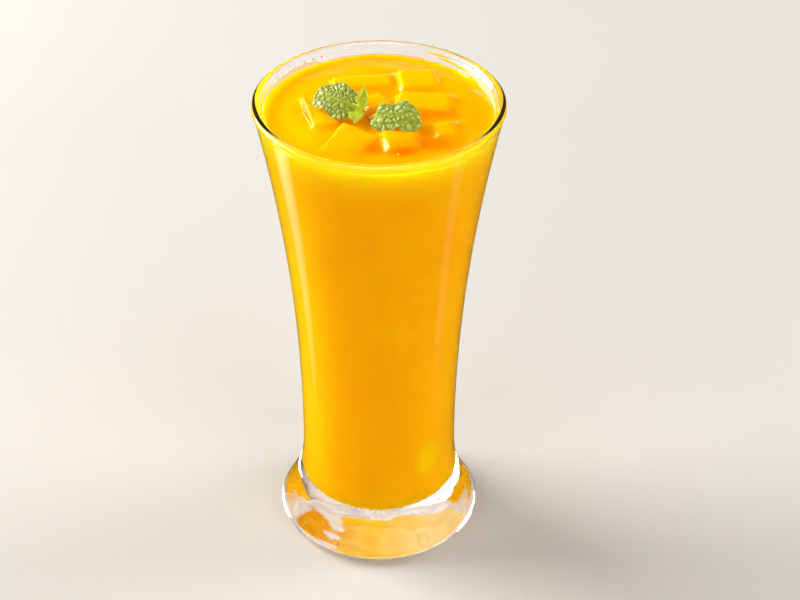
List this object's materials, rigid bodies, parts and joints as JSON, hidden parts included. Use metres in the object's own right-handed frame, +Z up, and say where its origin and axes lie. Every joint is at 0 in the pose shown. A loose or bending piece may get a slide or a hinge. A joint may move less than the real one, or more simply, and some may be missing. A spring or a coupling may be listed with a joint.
{
  "type": "glass of mango juice",
  "caption": "Flared clear glass with a heavy solid foot, full of opaque orange-yellow mango juice, with cut mango pieces and a mint sprig at the surface.",
  "frame": {"origin": "centre of the glass's underside, on the surface it stands on", "axes": "+Z up along the glass's axis; -Y towards the viewer of the picture, +X to the viewer's right"},
  "size_m": [0.079, 0.079, 0.1667],
  "materials": {
    "clear_glass": "clear fire-polished glass",
    "mango_juice": "opaque smooth fruit juice, wet and glossy on top",
    "mango_flesh": "cut ripe mango, wet with juice",
    "mint_green": "quilted mint leaf, pale grey-green where it shines",
    "mint_young": "young lime green mint leaf",
    "mint_stem": "thin reddish brown stem"
  },
  "bodies": {
    "root": {"glass": "clear_glass", "juice": "mango_juice", "mango_front_left": "mango_flesh", "mango_left": "mango_flesh", "mango_front_centre": "mango_flesh", "mango_right": "mango_flesh", "mango_centre": "mango_flesh", "mango_back_right": "mango_flesh", "mango_back": "mango_flesh", "mango_right_small": "mango_flesh", "mint_leaf_left": "mint_green", "mint_leaf_right": "mint_green", "mint_leaf_tip": "mint_young", "mint_leaf_low": "mint_young", "mint_stem": "mint_stem"}
  },
  "joints": []
}
